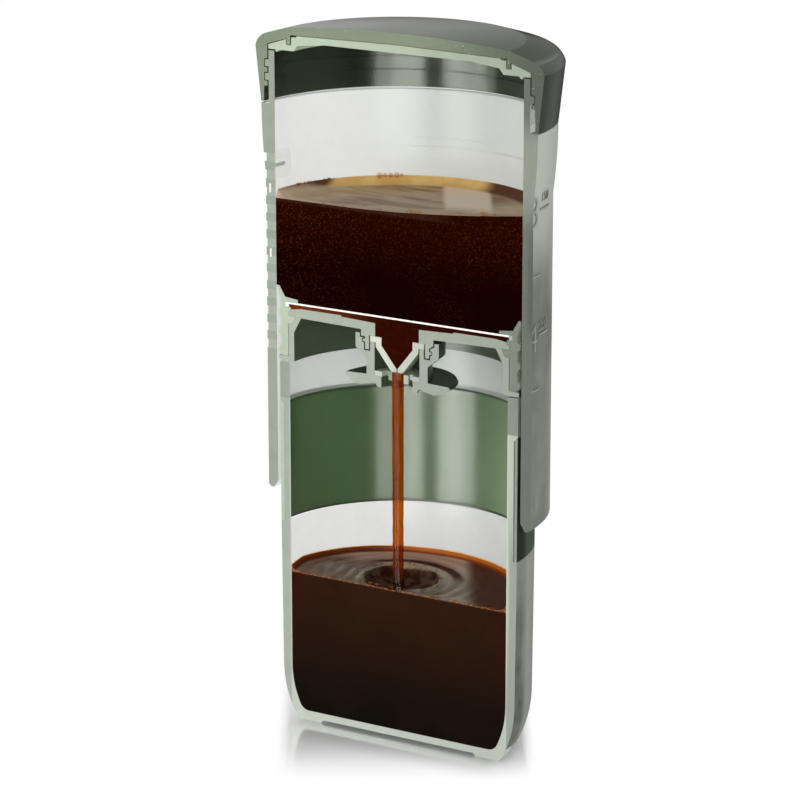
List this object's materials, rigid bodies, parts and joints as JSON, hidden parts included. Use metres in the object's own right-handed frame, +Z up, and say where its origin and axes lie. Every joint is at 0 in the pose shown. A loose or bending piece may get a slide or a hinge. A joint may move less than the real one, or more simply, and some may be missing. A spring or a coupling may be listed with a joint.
{
  "type": "portable espresso maker",
  "caption": "Portable coffee press cut in half to show its cup, banded grip, piston with filter and duckbill valve, sliding brew tube and screw lid.",
  "frame": {"origin": "middle of the half footprint, on the table under the cup's foot ring", "axes": "+Z up along the press's own axis, -Y out of the cut face, +X to the right of someone who faces the cut face"},
  "size_m": [0.0716, 0.0358, 0.1594],
  "materials": {
    "cup_plastic": "satin, translucent",
    "tube_plastic": "satin, translucent, with a sheen",
    "green_plastic": "satin to glossy",
    "band_silicone": "matt",
    "seal_silicone": "matt, translucent",
    "valve_silicone": "matt, translucent",
    "screen_steel": "satin",
    "rim_plastic": "matt"
  },
  "bodies": {
    "cup": {"cup": "cup_plastic", "cup_band": "band_silicone"},
    "piston": {"piston": "green_plastic", "piston_seal": "seal_silicone", "filter_rim": "rim_plastic", "filter_screen": "screen_steel"},
    "tube": {"brew_tube": "tube_plastic"},
    "liner": {"lid_liner": "seal_silicone"},
    "lid": {"lid": "green_plastic"},
    "valve": {"valve": "valve_silicone"},
    "holder": {"valve_holder": "green_plastic", "outlet_grille": "rim_plastic"}
  },
  "joints": [
    {"name": "unit_lift", "type": "slide", "parent": "cup", "child": "piston", "axis": [0, 0, 1], "range_m": [0, 0.035]},
    {"name": "press", "type": "slide", "parent": "piston", "child": "tube", "axis": [0, 0, 1], "range_m": [-0.0515, 0.048]},
    {"name": "lid_lift", "type": "slide", "parent": "tube", "child": "liner", "axis": [0, 0, 1], "range_m": [0, 0.006]},
    {"name": "lid_turn", "type": "hinge", "parent": "liner", "child": "lid", "pos_m": [0, -0.01792, 0.15], "axis": [0, 0, 1], "range_deg": [0, 720]},
    {"name": "valve_drop", "type": "slide", "parent": "piston", "child": "valve", "axis": [0, 0, 1], "range_m": [-0.003, 0]},
    {"name": "holder_turn", "type": "hinge", "parent": "valve", "child": "holder", "pos_m": [0, -0.01792, 0.087], "axis": [0, 0, 1], "range_deg": [-720, 0]}
  ],
  "couplings": [
    {"joint": "lid_lift", "follows": "lid_turn", "m_per_rad": 0.00047746},
    {"joint": "valve_drop", "follows": "holder_turn", "m_per_rad": 0.00023873}
  ]
}
